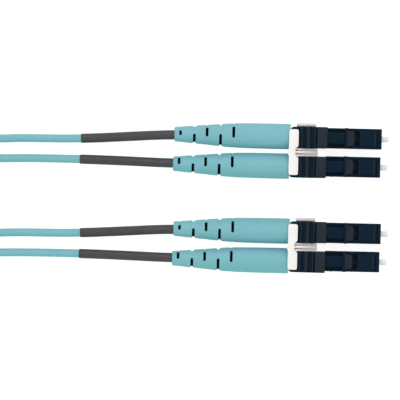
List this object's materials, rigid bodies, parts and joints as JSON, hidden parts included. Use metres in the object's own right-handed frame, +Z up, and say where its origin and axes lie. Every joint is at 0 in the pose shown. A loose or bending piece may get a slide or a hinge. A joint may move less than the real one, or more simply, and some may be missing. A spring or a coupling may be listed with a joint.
{
  "type": "fibre optic patch cord",
  "caption": "Duplex LC patch cord: latching plugs held in pairs by clips, slotted boots, sleeved cord legs, and the rest of the cord wound in a tied coil.",
  "frame": {"origin": "on the surface that the plug ends lie on, below the middle of the two ends, measured without the cords", "axes": "+X along the plugs towards the ferrule tips, +Y from end B to end A, +Z up, with the latches on top"},
  "size_m": [0.1386, 0.0426, 0.0089],
  "materials": {
    "navy_plastic": "moulded, dark blue, satin gloss",
    "white_ceramic": "polished white zirconia",
    "nickel_steel": "nickel plated",
    "buffered_fibre": "smooth tight buffer",
    "aqua_boot": "soft moulded elastomer, satin",
    "aqua_jacket": "extruded jacket, satin",
    "black_sleeve": "shrink tube, satin",
    "white_clip": "moulded white, slightly translucent",
    "black_strap": "hook and loop strap"
  },
  "bodies": {
    "root": {"housing_a1": "navy_plastic", "housing_a2": "navy_plastic", "housing_b1": "navy_plastic", "housing_b2": "navy_plastic", "rear_body_a1": "navy_plastic", "rear_body_a2": "navy_plastic", "rear_body_b1": "navy_plastic", "rear_body_b2": "navy_plastic", "spring_a1": "nickel_steel", "spring_a2": "nickel_steel", "spring_b1": "nickel_steel", "spring_b2": "nickel_steel", "backpost_a1": "nickel_steel", "backpost_a2": "nickel_steel", "backpost_b1": "nickel_steel", "backpost_b2": "nickel_steel", "crimp_ring_a1": "nickel_steel", "crimp_ring_a2": "nickel_steel", "crimp_ring_b1": "nickel_steel", "crimp_ring_b2": "nickel_steel", "boot_a1": "aqua_boot", "boot_a2": "aqua_boot", "boot_b1": "aqua_boot", "boot_b2": "aqua_boot", "shrink_sleeve_a1": "black_sleeve", "shrink_sleeve_a2": "black_sleeve", "shrink_sleeve_b1": "black_sleeve", "shrink_sleeve_b2": "black_sleeve", "cord_leg_a1": "aqua_jacket", "cord_leg_a2": "aqua_jacket", "cord_leg_b1": "aqua_jacket", "cord_leg_b2": "aqua_jacket", "duplex_clip_a": "white_clip", "duplex_clip_b": "white_clip", "cord_coil": "aqua_jacket", "coil_tie_1": "black_strap", "coil_tie_2": "black_strap"},
    "trigger_a1": {"trigger_a1": "navy_plastic"},
    "trigger_a2": {"trigger_a2": "navy_plastic"},
    "trigger_b1": {"trigger_b1": "navy_plastic"},
    "trigger_b2": {"trigger_b2": "navy_plastic"},
    "latch_a1": {"latch_a1": "navy_plastic"},
    "latch_a2": {"latch_a2": "navy_plastic"},
    "latch_b1": {"latch_b1": "navy_plastic"},
    "latch_b2": {"latch_b2": "navy_plastic"},
    "ferrule_a1": {"ferrule_a1": "white_ceramic", "ferrule_holder_a1": "nickel_steel", "buffered_fibre_a1": "buffered_fibre"},
    "ferrule_a2": {"ferrule_a2": "white_ceramic", "ferrule_holder_a2": "nickel_steel", "buffered_fibre_a2": "buffered_fibre"},
    "ferrule_b1": {"ferrule_b1": "white_ceramic", "ferrule_holder_b1": "nickel_steel", "buffered_fibre_b1": "buffered_fibre"},
    "ferrule_b2": {"ferrule_b2": "white_ceramic", "ferrule_holder_b2": "nickel_steel", "buffered_fibre_b2": "buffered_fibre"}
  },
  "joints": [
    {"name": "trigger_a1_press", "type": "hinge", "parent": "root", "child": "trigger_a1", "pos_m": [0.00435, 0.0136, 0.0056], "axis": [0, 1, 0], "range_deg": [0, 12], "stiffness_Nm_per_rad": 0.05},
    {"name": "trigger_a2_press", "type": "hinge", "parent": "root", "child": "trigger_a2", "pos_m": [0.00417, 0.00735, 0.0056], "axis": [0, 1, 0], "range_deg": [0, 12], "stiffness_Nm_per_rad": 0.05},
    {"name": "trigger_b1_press", "type": "hinge", "parent": "root", "child": "trigger_b1", "pos_m": [0.0046, -0.00735, 0.0056], "axis": [0, 1, 0], "range_deg": [0, 12], "stiffness_Nm_per_rad": 0.05},
    {"name": "trigger_b2_press", "type": "hinge", "parent": "root", "child": "trigger_b2", "pos_m": [0.00442, -0.0136, 0.0056], "axis": [0, 1, 0], "range_deg": [0, 12], "stiffness_Nm_per_rad": 0.05},
    {"name": "latch_a1_flex", "type": "hinge", "parent": "root", "child": "latch_a1", "pos_m": [0.0205, 0.0136, 0.00515], "axis": [0, -1, 0], "range_deg": [0, 5.5]},
    {"name": "latch_a2_flex", "type": "hinge", "parent": "root", "child": "latch_a2", "pos_m": [0.02032, 0.00735, 0.00515], "axis": [0, -1, 0], "range_deg": [0, 5.5]},
    {"name": "latch_b1_flex", "type": "hinge", "parent": "root", "child": "latch_b1", "pos_m": [0.02075, -0.00735, 0.00515], "axis": [0, -1, 0], "range_deg": [0, 5.5]},
    {"name": "latch_b2_flex", "type": "hinge", "parent": "root", "child": "latch_b2", "pos_m": [0.02057, -0.0136, 0.00515], "axis": [0, -1, 0], "range_deg": [0, 5.5]},
    {"name": "ferrule_a1_float", "type": "slide", "parent": "root", "child": "ferrule_a1", "axis": [-1, 0, 0], "range_m": [0, 0.001], "stiffness_N_per_m": 1500, "deforming": ["spring_a1"]},
    {"name": "ferrule_a2_float", "type": "slide", "parent": "root", "child": "ferrule_a2", "axis": [-1, 0, 0], "range_m": [0, 0.001], "stiffness_N_per_m": 1500, "deforming": ["spring_a2"]},
    {"name": "ferrule_b1_float", "type": "slide", "parent": "root", "child": "ferrule_b1", "axis": [-1, 0, 0], "range_m": [0, 0.001], "stiffness_N_per_m": 1500, "deforming": ["spring_b1"]},
    {"name": "ferrule_b2_float", "type": "slide", "parent": "root", "child": "ferrule_b2", "axis": [-1, 0, 0], "range_m": [0, 0.001], "stiffness_N_per_m": 1500, "deforming": ["spring_b2"]}
  ],
  "couplings": [
    {"joint": "latch_a1_flex", "follows": "trigger_a1_press", "ratio": 0.458},
    {"joint": "latch_a2_flex", "follows": "trigger_a2_press", "ratio": 0.458},
    {"joint": "latch_b1_flex", "follows": "trigger_b1_press", "ratio": 0.458},
    {"joint": "latch_b2_flex", "follows": "trigger_b2_press", "ratio": 0.458}
  ]
}
